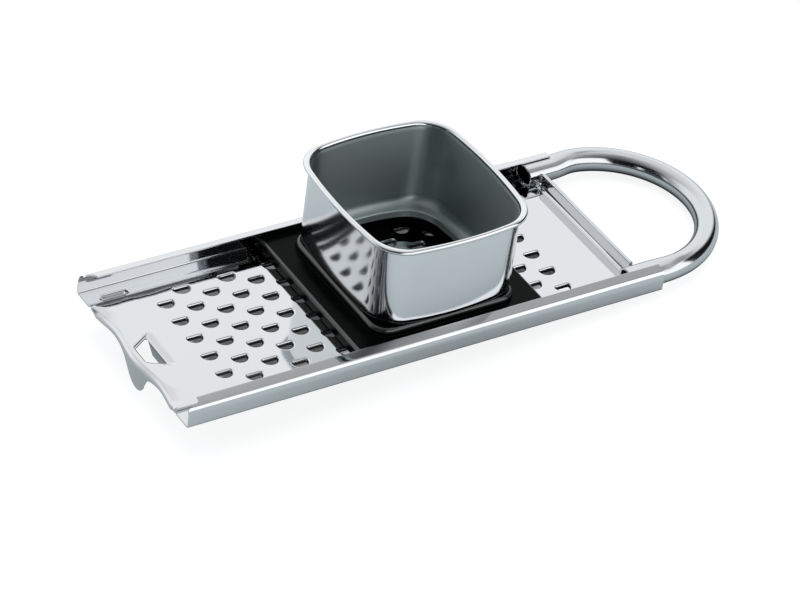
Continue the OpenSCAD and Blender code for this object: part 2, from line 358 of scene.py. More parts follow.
# %% [markdown]
# ## Folding the rails
# Each side of the sheet steps down beside the holes, is folded up and then in, which stiffens the tray
# and traps the carriage. In the mesh a fold is an extrude along a quarter circle. The second fold stops
# short of a right angle, as steel springs back, so the lip rises a little inwards.

# %% Rails
FOLD, STRIP_Z, STRAIGHT_Z = 0.8, -0.3, 5.5
WIDE_R, TOP_R, TURN = 7.0, 1.0, 28
LIP, LIP_RISE = HALF - 6.4, 13.0
STEP_W, STEP_PARTS, SQUARE = 2.0, 6, 0.4
SIDE, REAR = WALL - FOLD, FRONT + LENGTH


def path_round(cx, cz, r, start, stop, steps):
    """An arc without its first point, which the path has already reached."""
    return arc(cx, cz, r, start, stop, steps)[1:]


profile = [(STRIP_Y + STEP_W * k / STEP_PARTS, TOP + (STRIP_Z - TOP) * ease_in(k / STEP_PARTS))
           for k in range(1, STEP_PARTS + 1)]
profile += [(STRIP_Y + STEP_W + SQUARE * k, STRIP_Z) for k in range(1, 12)]
profile += [(48.2, STRIP_Z), (SIDE, STRIP_Z)]
profile += path_round(SIDE, STRIP_Z + FOLD, FOLD, -90, 0, 5) + [(WALL, 3.4), (WALL, STRAIGHT_Z)]
profile += path_round(WALL - WIDE_R, STRAIGHT_Z, WIDE_R, 0, TURN, 6)
top_y, top_z = profile[-1]
top_y -= TOP_R * math.cos(math.radians(TURN))
top_z -= TOP_R * math.sin(math.radians(TURN))
profile += path_round(top_y, top_z, TOP_R, TURN, 90 - LIP_RISE, 6)
lean = math.tan(math.radians(LIP_RISE))
end_y, end_z = profile[-1]
along_lip = (end_y - 0.8, end_y - 1.7, (end_y + LIP) / 2 - 0.5, LIP)
profile += [(y, end_z + (end_y - y) * lean) for y in along_lip]
for side in (-1, 1):
    choose_border(tray, lambda v: abs(v.y - side * STRIP_Y) < NEAR and abs(v.z - TOP) < LEVEL, 0, 0.1)
    y, z = STRIP_Y, TOP
    for next_y, next_z in profile:
        extrude(dy=side * (next_y - y), dz=next_z - z)
        y, z = next_y, next_z
choose_border(tray, lambda v: abs(v.x - FLOOR_END) < NEAR and abs(v.y) > 46.3)
extrude(dx=REAR - FLOOR_END)
print("points of the rail's section", len(profile))

# %% [markdown]
# ## The trimmed lips
# The front end of each lip is trimmed on a curve, so that the carriage can be slipped in. The rails are
# longer at the wall than at the lip, and the mesh there is squeezed along X to follow that trim.

# %% Front ends of the lips
TRIM, TRIM_END_Y, TRIM_REACH = 6.8, 52.4, 14


def lip_start(y):
    """Where the lip begins behind the front edge: at the wall it is the edge, then it curves back."""
    outwards = min(1.0, max(0.0, (abs(y) - LIP) / (TRIM_END_Y - LIP)))
    return TRIM * (1 - outwards ** 4)


mesh = bmesh.from_edit_mesh(tray.data)
for v in mesh.verts:
    x, y, z = v.co / MM
    if z > top_z + 0.4 and x < FRONT + TRIM_REACH:
        start = lip_start(y)
        v.co.x = (FRONT + start + (x - FRONT) * (TRIM_REACH - start) / TRIM_REACH) * MM
bmesh.update_edit_mesh(tray.data)

# %% [markdown]
# ## The stop bumps
# Two long bumps, pressed up from below, stop the carriage before it can leave the tray. The strips beside
# the rails already have small squares there, so the bumps are drawn by lifting their corners: a corner's
# height depends only on how far it is from the bump's middle line.

# %% Stop bumps
BUMP_Y, BUMP_R, BUMP_H, BUMP_CROWN = 45.6, 2.1, 1.1, 0.5
BUMP_FROM, BUMP_TO = 9.5, 20.1
for v in mesh.verts:
    x, y, z = v.co / MM
    if abs(z - STRIP_Z) < LEVEL:
        off = math.hypot(max(FRONT + BUMP_FROM - x, 0, x - FRONT - BUMP_TO), abs(y) - BUMP_Y)
        v.co.z += BUMP_H * (1 - ease_in((off - BUMP_CROWN) / (BUMP_R - BUMP_CROWN))) * MM
bmesh.update_edit_mesh(tray.data)

# %% [markdown]
# ## The rear flange
# Between the two tube ends the sheet turns up and its edge is rolled back over, so nothing sharp is left.
# The carriage can't pass it, and it keeps the dough off the handle.

# %% Rear flange
FLANGE_R, HEM_R, FLANGE_TOP, HEM_LOW = 2.2, 1.0, 6.6, 4.4
HEM_X = FLANGE_R + HEM_R
rise = path_round(0, FLANGE_R, FLANGE_R, -90, 0, 8) + [(FLANGE_R, FLANGE_TOP)]
rise += path_round(HEM_X, FLANGE_TOP, HEM_R, 180, 0, 8) + [(HEM_X + HEM_R, HEM_LOW)]


def at_flange(v):
    return abs(v.x - FLANGE_FOOT) < NEAR and abs(v.z - TOP) < LEVEL and abs(v.y) < FLANGE_Y + 0.05


print("edges of the flange", choose_border(tray, at_flange))
x, z = 0.0, 0.0
for next_x, next_z in rise:
    extrude(dx=next_x - x, dz=next_z - z)
    x, z = next_x, next_z

# %% [markdown]
# ## The skirt and the hook
# The front edge turns down over a wide bend and hangs lowest in the middle, where it forms a rounded
# tongue that hooks over the pot. The bend's rows keep the swung outline of the floor, and the rows below
# share out the depth at each column, so the tongue grows out of the skirt without a seam.

# %% Skirt and hook
LOBE_HALF, LOBE_Z, LOBE_R = 6.9, -11.5, 7.2
SHOULDER = [(LOBE_HALF, -13.5), (7.9, -11.6), (9.0, -9.6), (10.2, -7.6), (11.6, -5.9), (13.4, -4.8),
            (16, -4.0), (22, -3.2), (30, -2.6), (36, -2.2), (SKIRT_END, -1.9)]
EDGE_R, DROOP, FOLD_ENDS = 2.4, 13.5, 118
LEAN = math.tan(math.radians(11.0))
TUCK, TUCK_DEEP = 0.3, 0.8
droop_s, droop_c = math.sin(math.radians(DROOP)), math.cos(math.radians(DROOP))
ROWS = [("droop", k / 5) for k in range(1, 6)]
ROWS += [("round", angle) for angle in (22, 32, 42, 52, 62, 72, 82, 92, 104, FOLD_ENDS)]
ROWS += [("drop", share) for share in (0.03, 0.07, 0.13, 0.22, 0.35, 0.5, 0.66, 0.83, 1)]


def skirt_low(y):
    """How low the skirt hangs at a place across the tray: the lobe's circle, then its shoulder."""
    y = abs(y)
    if y < LOBE_HALF:
        return LOBE_Z - math.sqrt(max(0.0, LOBE_R ** 2 - y * y))
    for (a, za), (b, zb) in zip(SHOULDER, SHOULDER[1:]):
        if y <= b:
            return za + (zb - za) * (y - a) / (b - a)
    return TOP


def skirt_place(row, at, y):
    """X and Z of a skirt corner in a row of the gentle droop, of the round fold or of the drop below."""
    edge_x, r, wide = FRONT + front_edge(y), EDGE_R * fold_share(y), bend_width(y)
    gentle = wide - r * (1 - droop_s)
    sag = gentle * math.tan(math.radians(DROOP)) / 2
    if row == "droop":
        return edge_x + wide - gentle * at, TOP - sag * at * at
    angle = math.radians(at if row == "round" else FOLD_ENDS)
    x, z = edge_x + r * (1 - math.sin(angle)), TOP - sag - r * droop_c + r * math.cos(angle)
    if row == "round":
        return x, z
    deep = (z - min(skirt_low(y), z)) * at
    return x + LEAN * deep + TUCK * (1 - math.exp(-deep / TUCK_DEEP)), z - deep


def at_front(v):
    return v.x < FRONT + TRIM_REACH and abs(v.z - TOP) < LEVEL and abs(v.y) < SKIRT_HALF


choose_border(tray, at_front, axis=1, least=0.2)
for row, at in ROWS:
    bpy.ops.mesh.extrude_edges_move()
    mesh = bmesh.from_edit_mesh(tray.data)
    for v in mesh.verts:
        if v.select:
            x, z = skirt_place(row, at, v.co.y / MM)
            v.co.x, v.co.z = x * MM, z * MM
    bmesh.update_edit_mesh(tray.data)
bpy.ops.mesh.select_all(action="SELECT")
bpy.ops.mesh.remove_doubles(threshold=0.01 * MM)
bpy.ops.mesh.normals_make_consistent(inside=False)
mesh = bmesh.from_edit_mesh(tray.data)
floor_faces = [f for f in mesh.faces if abs(f.calc_center_median().z / MM - TOP) < LEVEL]
looks_down = sum(f.normal.z * f.calc_area() for f in floor_faces) < 0
if looks_down:
    bpy.ops.mesh.flip_normals()
print("faces of the skin", len(mesh.faces), "and turned over", looks_down)

# %% [markdown]
# ## From a skin to a sheet
# So far the tray is a skin with no thickness. Solidify gives it 0.8 mm on the side away from the dough,
# so the inside sizes stay true. The cut ends of the lips are rounded a little. Weighted normals keep the
# big flat floor flat next to the small rounded rims, which matters on a mirror finish, where the smallest
# error bends the reflections.

# %% Thickness and smooth shading
LIP_END_R = 0.24


def apply_all(obj):
    """Applies every modifier of a piece."""
    only(obj)
    for m in list(obj.modifiers):
        bpy.ops.object.modifier_apply(modifier=m.name)


def smooth(obj, angle=38):
    """Shades a piece smooth, apart from edges sharper than this many degrees, with weighted normals."""
    only(obj)
    bpy.ops.object.shade_smooth_by_angle(angle=math.radians(angle))
    weigh = obj.modifiers.new("weigh", "WEIGHTED_NORMAL")
    weigh.keep_sharp, weigh.weight = True, 80
    bpy.ops.object.modifier_apply(modifier="weigh")


def is_lip_end(e, p):
    """The two long edges of the cut sheet at the inner end of a lip."""
    at_end = all(abs(v.y) < LIP + 0.35 and v.z > 9 for v in p) and abs(p[0].x - p[1].x) > 0.05
    return at_end and len(e.link_faces) == 2 and e.calc_face_angle(0.0) > 1.0


only(tray)
shell = tray.modifiers.new("sheet", "SOLIDIFY")
shell.thickness, shell.offset, shell.use_even_offset = SHEET * MM, -1.0, True
shell.use_quality_normals = True
apply_all(tray)
bpy.ops.object.mode_set(mode="EDIT")
print("lip edges rounded", choose(tray, is_lip_end))
bpy.ops.mesh.bevel(offset=LIP_END_R * MM, segments=3, affect="EDGES")
bpy.ops.object.mode_set(mode="OBJECT")
smooth(tray)
print("tray faces", len(tray.data.polygons))

# %% [markdown]
# ## The handle
# One steel tube is bent to a half circle and its ends are pressed flat, so that they slip into the rails,
# where spot welds hold them. A ring of corners is laid at one mouth and pulled along the tube's centre
# line, through the grip, the neck and the bend, with a flatter section where the tube was pressed.
# Solidify gives the wall, which shows at the open mouths.

# %% Tube handle
TUBE_R, TUBE_WALL, TUBE_Z = 6.0, 1.0, 5.35
LOOP_R, LOOP_OUT, LOOP_STEPS, ROUND = 47.2, 5.6, 72, 40
GRIP_H, GRIP_W, NECK, SEAT = 5.05, 6.65, (258.5, 275.0), WALL - 0.25
SINK, FLATTEST, FLAT_RATE = 0.58, 0.42, 1.8
LOOP_X = REAR + LOOP_OUT


def tube_ring(x, y, turn, wide, high):
    """A ring of the tube at a place, turned about Z, with a flattened round section."""
    out = []
    centre = TUBE_Z - (TUBE_R - high) * SINK
    power = 1.0 - FLATTEST * min(1.0, (wide / high - 1) * FLAT_RATE)
    for k in range(ROUND):
        a = 2 * math.pi * k / ROUND
        across, up = math.cos(a), math.sin(a)
        across = math.copysign(abs(across) ** power, across)
        up = math.copysign(abs(up) ** power, up)
        sideways = across * wide
        out.append((x + sideways * math.cos(turn), y + sideways * math.sin(turn), centre + up * high))
    return out


def tube_size(along):
    """Half width and half height, by the place along the centre line: pressed in the rail, then round."""
    squeeze = 1 - ease_in((along - NECK[0]) / (NECK[1] - NECK[0]))
    return TUBE_R + (GRIP_W - TUBE_R) * squeeze, TUBE_R + (GRIP_H - TUBE_R) * squeeze


path = []
for x in (244, 247, 251, 255, 258, 260, 261.5, 263, 264.3):
    w, h = tube_size(x)
    path.append((FRONT + x, -(SEAT - w), math.pi / 2, w, h))
loop = []
for k in range(LOOP_STEPS + 1):
    a = math.pi * k / LOOP_STEPS
    w, h = tube_size(LENGTH + LOOP_OUT + LOOP_R * min(a, math.pi - a))
    r = SEAT - w
    loop.append((LOOP_X + r * math.sin(a), -r * math.cos(a), math.pi / 2 + a, w, h))
back = [(x, -y, math.pi * 1.5, w, h) for x, y, _, w, h in reversed(path)]
handle = rings("handle_tube", [tube_ring(*p) for p in path + loop + back])
bpy.ops.mesh.select_all(action="SELECT")
bpy.ops.mesh.normals_make_consistent(inside=False)
wall = handle.modifiers.new("wall", "SOLIDIFY")
wall.thickness, wall.offset, wall.use_even_offset = TUBE_WALL * MM, -1.0, True
apply_all(handle)
smooth(handle)
print("handle faces", len(handle.data.polygons))

# %% [markdown]
# ## The hopper
# The hopper is drawn from one sheet: four bowed walls, round corners, a rolled rim, and a foot that
# curls in to a neck. Bowed walls are arcs of a very large circle. Every ring of the wall's section is
# the same outline moved in or out, worked out from the arcs, so the wall keeps an even thickness.

# %% Hopper
CARRIAGE_X = FRONT + 145.5
H_A, H_B, H_R, H_BOW = 41.1, 44.8, 17.0, 1.6
RIM_Z, BASE_Z, BASE_R, NECK_Z = 57.98, 11.45, 5.0, 8.4
RIM_R, MIDDLE_Z, ARC_STEPS = 1.3, 30, 10


def bowed(d):
    """The hopper's outline moved outwards by d: four shallow arcs joined by four round corners.

    The wide circles of the walls touch the corner's circle, which gives their radii and where they end."""
    a, b = H_A + d, H_B + d
    corner_x, corner_y = a - H_R - H_BOW, b - H_R - H_BOW
    radius_a = ((corner_x - a) ** 2 + corner_y ** 2 - H_R ** 2) / (2 * H_BOW)
    radius_b = ((corner_y - b) ** 2 + corner_x ** 2 - H_R ** 2) / (2 * H_BOW)
    end_a = math.degrees(math.asin(corner_y / (radius_a - H_R)))
    end_b = 90 - math.degrees(math.asin(corner_x / (radius_b - H_R)))
    quarter = arc(a - radius_a, 0, radius_a, 0, end_a, ARC_STEPS)[:-1]
    quarter += arc(corner_x, corner_y, H_R, end_a, end_b, ARC_STEPS)[:-1]
    quarter += arc(0, b - radius_b, radius_b, end_b, 90, ARC_STEPS)[:-1]
    second = [(-x, y) for x, y in reversed(quarter)]
    half = quarter + [(0, b)] + second[:-1] + [(-a, 0)]
    return half + [(x, -y) for x, y in reversed(half[1:-1])]


def hopper_ring(d, z):
    return [(CARRIAGE_X + x, y, z) for x, y in bowed(d)]


NECK_OUT, NECK_IN, FOOT_Z = -BASE_R - SHEET, -BASE_R - 2 * SHEET, BASE_Z + BASE_R
outside = [(NECK_OUT, NECK_Z), (NECK_OUT, BASE_Z - 0.3), (-BASE_R - 0.5, BASE_Z)]
outside += arc(-BASE_R, FOOT_Z, BASE_R, -84, 0, 8)
outside += [(0, MIDDLE_Z), (0, RIM_Z - 4.0), (0.1, RIM_Z - 2.9)]
rim = arc(0.9, RIM_Z - RIM_R, RIM_R, -100, 170, 14)
inner = [(-0.5, RIM_Z - 1.9), (-0.66, RIM_Z - 2.8), (-SHEET, RIM_Z - 4.0), (-SHEET, MIDDLE_Z)]
inner += [(-SHEET, FOOT_Z)] + path_round(-BASE_R, FOOT_Z, BASE_R - SHEET, 0, -84, 8)
inner += [(NECK_OUT - 0.35, BASE_Z + 0.75), (NECK_IN, BASE_Z + 0.3), (NECK_IN, NECK_Z)]
section = outside + rim + inner
hopper = rings("hopper_shell", [hopper_ring(d, z) for d, z in section + section[:1]])
bpy.ops.mesh.select_all(action="SELECT")
bpy.ops.mesh.remove_doubles(threshold=0.01 * MM)
bpy.ops.mesh.normals_make_consistent(inside=False)
smooth(hopper)
print("hopper faces", len(hopper.data.polygons))

# %% [markdown]
# ## The carriage's plate
# The black carriage is a flat moulding. It starts as a cube primitive, its front and back edges are
# bevelled, and the window for the dough is cut by a Boolean with the outline of the hopper's neck.

# %% Carriage plate
C_HALF, C_SIDE, C_LOW, C_TOP = 51.3, 52.8, 1.0, 7.4
C_ROUND, C_CHAMFER = 1.7, 0.5
WINDOW = bowed(NECK_OUT + 0.1)
WINDOW_ENDS = (-5, 20)


def block(y, low, high, wide):
    """A cube primitive as long as the carriage, put at its place and opened in edit mode."""
    nothing_selected()
    bpy.ops.mesh.primitive_cube_add(
        size=1, location=(CARRIAGE_X * MM, y * MM, (low + high) / 2 * MM),
        scale=(2 * C_HALF * MM, wide * MM, (high - low) * MM))
    bpy.ops.object.transform_apply(location=True, rotation=True, scale=True)
    bpy.ops.object.mode_set(mode="EDIT")
    return bpy.context.object


def choose_ends(obj, z):
    """The edges across the carriage, at its front and its back, at a height."""
    def at_end(v):
        return abs(abs(v.x - CARRIAGE_X) - C_HALF) < 0.1 and abs(v.z - z) < 0.1
    choose(obj, lambda e, p: all(at_end(v) for v in p))


carriage = block(0, C_LOW, C_TOP, 2 * C_SIDE)
carriage.name = carriage.data.name = "carriage_moulding"
choose_ends(carriage, C_TOP)
bpy.ops.mesh.bevel(offset=C_ROUND * MM, segments=6, affect="EDGES")
choose_ends(carriage, C_LOW)
bpy.ops.mesh.bevel(offset=C_CHAMFER * MM, segments=2, affect="EDGES")
window = rings("window", [[(CARRIAGE_X + x, y, z) for x, y in WINDOW] for z in WINDOW_ENDS])
for z in WINDOW_ENDS:
    choose(window, lambda e, p: all(abs(v.z - z) < LEVEL for v in p))
    bpy.ops.mesh.edge_face_add()
bpy.ops.mesh.select_all(action="SELECT")
bpy.ops.mesh.normals_make_consistent(inside=False)
bpy.ops.object.mode_set(mode="OBJECT")
cut = carriage.modifiers.new("cut", "BOOLEAN")
cut.operation, cut.object, cut.solver = "DIFFERENCE", window, "EXACT"
apply_all(carriage)
bpy.data.objects.remove(window)
print("plate faces", len(carriage.data.polygons))

# %% [markdown]
# ## The collar and the runners
# A raised collar holds the foot of the hopper. Outside it is a rounded rectangle, and inside it has the
# bowed outline of the window, so its rings blend from one to the other. Two low runners slide under the
# lips and keep the carriage down.

# %% Collar and runners
COLLAR_A, COLLAR_B, COLLAR_R, COLLAR_TOP, COLLAR_ROUND = 39.3, 41.8, 10.0, 11.4, 2.2
RUNNER_Y, RUNNER_W, RUNNER_LOW, RUNNER_TOP = 50.0, 3.6, 6.9, 8.9


def collar_ring(d, z, blend):
    """The collar's rounded rectangle, moved outwards by d and blended towards the window's outline.

    Each point of the window is scaled from the middle, in steps, until it lies on the rectangle."""
    out = []
    a, b, r = COLLAR_A + d, COLLAR_B + d, COLLAR_R + d
    for x, y in WINDOW:
        scale = 1.0
        for _ in range(40):
            past_x, past_y = max(abs(x * scale) - (a - r), 0), max(abs(y * scale) - (b - r), 0)
            scale -= (math.hypot(past_x, past_y) - r) / math.hypot(x, y)
        px = x * scale * (1 - blend) + x * blend
        py = y * scale * (1 - blend) + y * blend
        out.append((CARRIAGE_X + px, py, z))
    return out


loops = [collar_ring(0.35, C_TOP - 0.5, 0), collar_ring(0.35, C_TOP, 0)]
loops += [collar_ring(0.1, C_TOP + 0.25, 0), collar_ring(0, C_TOP + 0.7, 0)]
for angle in (0, 18, 36, 54, 72, 90):
    s, c = math.sin(math.radians(angle)), math.cos(math.radians(angle))
    loops.append(collar_ring(-COLLAR_ROUND * (1 - c), COLLAR_TOP - COLLAR_ROUND * (1 - s), 0))
loops += [collar_ring(-2.4, COLLAR_TOP, 0.3), collar_ring(-2.6, COLLAR_TOP, 1)]
loops += [collar_ring(-2.6, C_LOW + 0.5, 1), collar_ring(0.35, C_LOW + 0.5, 0)]
collar = rings("collar", loops + loops[:1])
bpy.ops.mesh.select_all(action="SELECT")
bpy.ops.mesh.remove_doubles(threshold=0.01 * MM)
bpy.ops.mesh.normals_make_consistent(inside=False)
runners = []
for side in (-1, 1):
    runners.append(block(side * RUNNER_Y, RUNNER_LOW, RUNNER_TOP, RUNNER_W))
    bpy.ops.mesh.select_all(action="SELECT")
    bpy.ops.mesh.bevel(offset=0.4 * MM, segments=3, affect="EDGES")
carriage = join([carriage, collar] + runners)
smooth(carriage, 30)
print("carriage faces", len(carriage.data.polygons))

# %% [markdown]
# ## Colours and nodes
# Colours are written as the hex values that an artist picks on screen, and one function turns them to
# the linear numbers that the shader needs. One small function adds a node, sets it and links it. Where
# another node is given as a link, its first output is meant.

# %% Colour and node helpers
MATH, RANGE, MIX = "ShaderNodeMath", "ShaderNodeMapRange", "ShaderNodeMix"


def colour(hex_code):
    """Linear red, green, blue and alpha of a colour such as "#C9CCCE"."""
    parts = [int(hex_code[i:i + 2], 16) / 255 for i in (1, 3, 5)]
    return [c / 12.92 if c <= 0.04045 else ((c + 0.055) / 1.055) ** 2.4 for c in parts] + [1.0]


def node(tree, kind, settings=None, links=None):
    """Adds a node. Settings are its attributes or socket values, and links join other sockets to it."""
    new = tree.nodes.new(kind)
    for name, value in (settings or {}).items():
        if isinstance(name, int) or name in new.inputs:
            new.inputs[name].default_value = value
        else:
            setattr(new, name, value)
    for name, source in (links or {}).items():
        socket = source.outputs[0] if hasattr(source, "outputs") else source
        tree.links.new(socket, new.inputs[name])
    return new


def smooth_step(start, end, low=0.0, high=1.0):
    """Settings for a smooth step from low to high as a value goes from start to end."""
    return {"interpolation_type": "SMOOTHSTEP", "From Min": start, "From Max": end,
            "To Min": low, "To Max": high}


def fresh(name):
    """A new material with an empty node tree."""
    material = bpy.data.materials.new(name)
    material.use_nodes = True
    material.node_tree.nodes.clear()
    return material, material.node_tree

# %% [markdown]
# ## Mirror-polished stainless steel
# The tray and the tube are 18/10 stainless steel, buffed with a soft wheel. Buffing leaves a mirror with
# a faint haze: long, very shallow ripples from rolling, one in about 36 mm, and hairlines a few
# hundredths of a millimetre wide. The hairlines are too fine for the picture, so they are drawn nearly
# 0.4 mm apart and very weak. Patterns are given as so many to the millimetre.

# %% Polished steel
HAIRS, HAIR_ENDS, RIPPLES = 2.7 / MM, 0.18 / MM, 0.028 / MM


def polished_steel(name, tint, haze, ripple):
    material, t = fresh(name)
    where = node(t, "ShaderNodeTexCoord").outputs["Object"]
    along = node(t, "ShaderNodeMapping", {"Scale": (HAIR_ENDS, HAIRS, HAIRS)}, {"Vector": where})
    hair = node(t, "ShaderNodeTexNoise", {"Scale": 1.0, "Detail": 2.0}, {"Vector": along})
    rolled = node(t, "ShaderNodeTexNoise", {"Scale": RIPPLES, "Detail": 1.0}, {"Vector": where})
    rough = node(t, RANGE, {"To Min": haze * 0.7, "To Max": haze * 1.3}, {"Value": hair})
    wave = node(t, "ShaderNodeBump", {"Strength": ripple, "Distance": 0.4 * MM}, {"Height": rolled})
    steel = node(t, "ShaderNodeBsdfPrincipled", {"Base Color": colour(tint), "Metallic": 1.0},
                 {"Roughness": rough, "Normal": wave})
    node(t, "ShaderNodeOutputMaterial", links={"Surface": steel})
    return material


tray_steel = polished_steel("stainless sheet, mirror polished", "#D0D2D4", 0.05, 0.05)
tube_steel = polished_steel("stainless tube, mirror polished", "#C9CCCE", 0.13, 0.03)
hopper_steel = polished_steel("stainless hopper, polished outside", "#DCDFE1", 0.11, 0.06)

# %% [markdown]
# ## Brushed steel inside the hopper
# Inside, the hopper keeps the fine horizontal lines of the belt that finished it. Lines about 0.4 mm
# apart run round the walls, so the pattern is stretched along the plane and stays thin in height. The
# lines scatter light up and down, which turns each reflection into a soft vertical streak.

# %% Brushed steel
LINES, LINE_ENDS = 2.4 / MM, 0.022 / MM


def brushed_steel(name, tint):
    material, t = fresh(name)
    where = node(t, "ShaderNodeTexCoord").outputs["Object"]
    lines = node(t, "ShaderNodeMapping", {"Scale": (LINE_ENDS, LINE_ENDS, LINES)}, {"Vector": where})
    grain = node(t, "ShaderNodeTexNoise", {"Scale": 1.0, "Detail": 4.0, "Roughness": 0.65},
                 {"Vector": lines})
    rough = node(t, RANGE, {"To Min": 0.30, "To Max": 0.46}, {"Value": grain})
    round_the_walls = node(t, "ShaderNodeTangent", {"direction_type": "RADIAL", "axis": "Z"})
    ridge = node(t, "ShaderNodeBump", {"Strength": 0.35, "Distance": 0.12 * MM}, {"Height": grain})
    steel = node(t, "ShaderNodeBsdfPrincipled",
                 {"Base Color": colour(tint), "Metallic": 1.0, "Anisotropic": 0.85,
                  "Anisotropic Rotation": 0.25},
                 {"Roughness": rough, "Normal": ridge, "Tangent": round_the_walls})
    node(t, "ShaderNodeOutputMaterial", links={"Surface": steel})
    return material


inner_steel = brushed_steel("stainless hopper, brushed inside", "#B4BFBE")

# %% [markdown]
# ## Black moulded plastic
# The carriage is moulded in black POM, a slippery plastic that steel slides on. The mould was blasted
# with fine grit, so the flat top is a dull satin. Its rounded edges get a painted highlight: a greyer,
# glossier copy of the black.
# Real grit marks are under 0.1 mm. They are drawn nearly 0.4 mm wide, so that they show at all.

# %% Black POM
GRIT = 2.6 / MM


def moulded(name, tint, shine, rough_low, rough_high):
    material, t = fresh(name)
    where = node(t, "ShaderNodeTexCoord").outputs["Object"]
    grit = node(t, "ShaderNodeTexNoise", {"Scale": GRIT, "Detail": 2.0}, {"Vector": where})
    rough = node(t, RANGE, {"To Min": rough_low, "To Max": rough_high}, {"Value": grit})
    pits = node(t, "ShaderNodeBump", {"Strength": 0.12, "Distance": 0.03 * MM}, {"Height": grit})
    plastic = node(t, "ShaderNodeBsdfPrincipled",
                   {"Base Color": colour(tint), "IOR": 1.48, "Specular IOR Level": shine},
                   {"Roughness": rough, "Normal": pits})
    node(t, "ShaderNodeOutputMaterial", links={"Surface": plastic})
    return material


black_pom = moulded("black POM, satin moulding", "#060909", 0.04, 0.20, 0.30)
# Painted highlight for the rounded edges: a greyer, glossier copy of the black moulding.
edge_highlight_pom = moulded("black POM, painted edge highlight", "#262B2B", 1.0, 0.16, 0.24)

# %% [markdown]
# ## Which face gets which finish or highlight
# Two pieces have two materials. On the carriage, only the rounded edges get the painted highlight. On the
# hopper, the faces that look inwards are brushed, and so is the curled foot.

# %% Give each piece its finish and the carriage its painted highlight
for piece, piece_materials in ((tray, [tray_steel]), (handle, [tube_steel]),
                        (carriage, [black_pom, edge_highlight_pom]), (hopper, [hopper_steel, inner_steel])):
    piece.data.materials.clear()
    for piece_material in piece_materials:
        piece.data.materials.append(piece_material)
# The rounded front and back edges and the collar's rounded top get the painted highlight.
for face in carriage.data.polygons:
    c, rises = face.center / MM, face.normal.z
    at_ends = abs(c.x - CARRIAGE_X) > C_HALF - C_ROUND and c.z > C_TOP - C_ROUND
    if at_ends and 0.1 < rises < 0.97 or c.z > COLLAR_TOP - COLLAR_ROUND and 0.15 < rises < 0.98:
        face.material_index = 1
for face in hopper.data.polygons:
    c = face.center / MM
    outwards = face.normal.x * (c.x - CARRIAGE_X) + face.normal.y * c.y
    if outwards < -0.5 and c.z < RIM_Z - 1.8 or c.z < 16 and face.normal.z > 0.05:
        face.material_index = 1
print("brushed faces", sum(face.material_index for face in hopper.data.polygons))

# %% [markdown]
# ## The floor
# The tool lies on white, resting on its hook and on the far side of the handle, so its nose stands up by
# a little over 3 degrees. Here the tool stays level and the floor tilts instead, which looks the same.
# To the camera the floor glows white, apart from a painted shadow under the tray that the drip holes show.
# Polished steel sees it as the cool pale grey that it has away from the lamps, and ambient occlusion
# takes that away close to the tool as painted shade, while the floor in front of the hook keeps some
# painted light. The paper is a darker grey for the steel than for the camera. Distances on the floor are in
# metres from below the hook, and each edge of the painted shadow is an axis, where a smooth step starts and
# ends, and its level before and after.

# %% Floor
HOOK_AT, HOOK_DEEP, HOOK_TO_LOOP = Vector((-119.5, 0, -19.0)), 18.15, 307.0
# The painted shadow under the tray, drawn as four smooth steps across the floor.
PAINTED_SHADOW_UNDER_TRAY = (("X", 0.033, 0.040, 0.0, 1.0), ("X", 0.240, 0.252, 1.0, 0.0),
              ("Y", -0.030, -0.016, 0.0, 1.0), ("Y", 0.060, 0.074, 1.0, 0.0))
nothing_selected()
bpy.ops.mesh.primitive_plane_add(size=8, location=(0, 0, 0))
ground = bpy.context.object
ground.name = "white_floor"
ground.rotation_euler = Euler((0, -math.atan2(HOOK_DEEP, HOOK_TO_LOOP), 0))
ground.location = HOOK_AT * MM
white, t = fresh("white paper sweep")
spot = node(t, "ShaderNodeSeparateXYZ", links={0: node(t, "ShaderNodeTexCoord").outputs["Object"]})
near_x, far_x, near_y, far_y = [
    node(t, RANGE, smooth_step(*step), {"Value": spot.outputs[axis]}) for axis, *step in PAINTED_SHADOW_UNDER_TRAY]
along = node(t, MATH, {"operation": "MULTIPLY"}, {0: near_x, 1: far_x})
across = node(t, MATH, {"operation": "MULTIPLY"}, {0: near_y, 1: far_y})
painted_shadow_mask = node(t, MATH, {"operation": "MULTIPLY"}, {0: along, 1: across})
# Painted shadow: to the camera the floor glows at 0.86, and at 0.06 under the tray.
eye_glow_with_painted_shadow = node(t, RANGE, smooth_step(0.0, 1.0, 0.86, 0.06), {"Value": painted_shadow_mask})
# Painted shade: for the steel the glow fades with ambient occlusion close to the tool.
open_sky = node(t, "ShaderNodeAmbientOcclusion", {"Distance": 0.10, "samples": 16}).outputs["AO"]
open_floor = node(t, RANGE, smooth_step(0.35, 1.0, 0.0, 0.65), {"Value": open_sky})
# Painted light: for the steel, the floor in front of the hook and just behind it keeps a level of up to
# 0.45.
painted_light_before_hook = node(t, RANGE, smooth_step(-0.002, 0.012, 0.45, 0.0), {"Value": spot.outputs["X"]})
to_steel = node(t, MATH, {"operation": "MAXIMUM"}, {0: open_floor, 1: painted_light_before_hook})
eye_ray = node(t, "ShaderNodeLightPath").outputs["Is Camera Ray"]
glow_level = node(t, MIX, {"data_type": "FLOAT"}, {0: eye_ray, 2: to_steel, 3: eye_glow_with_painted_shadow})
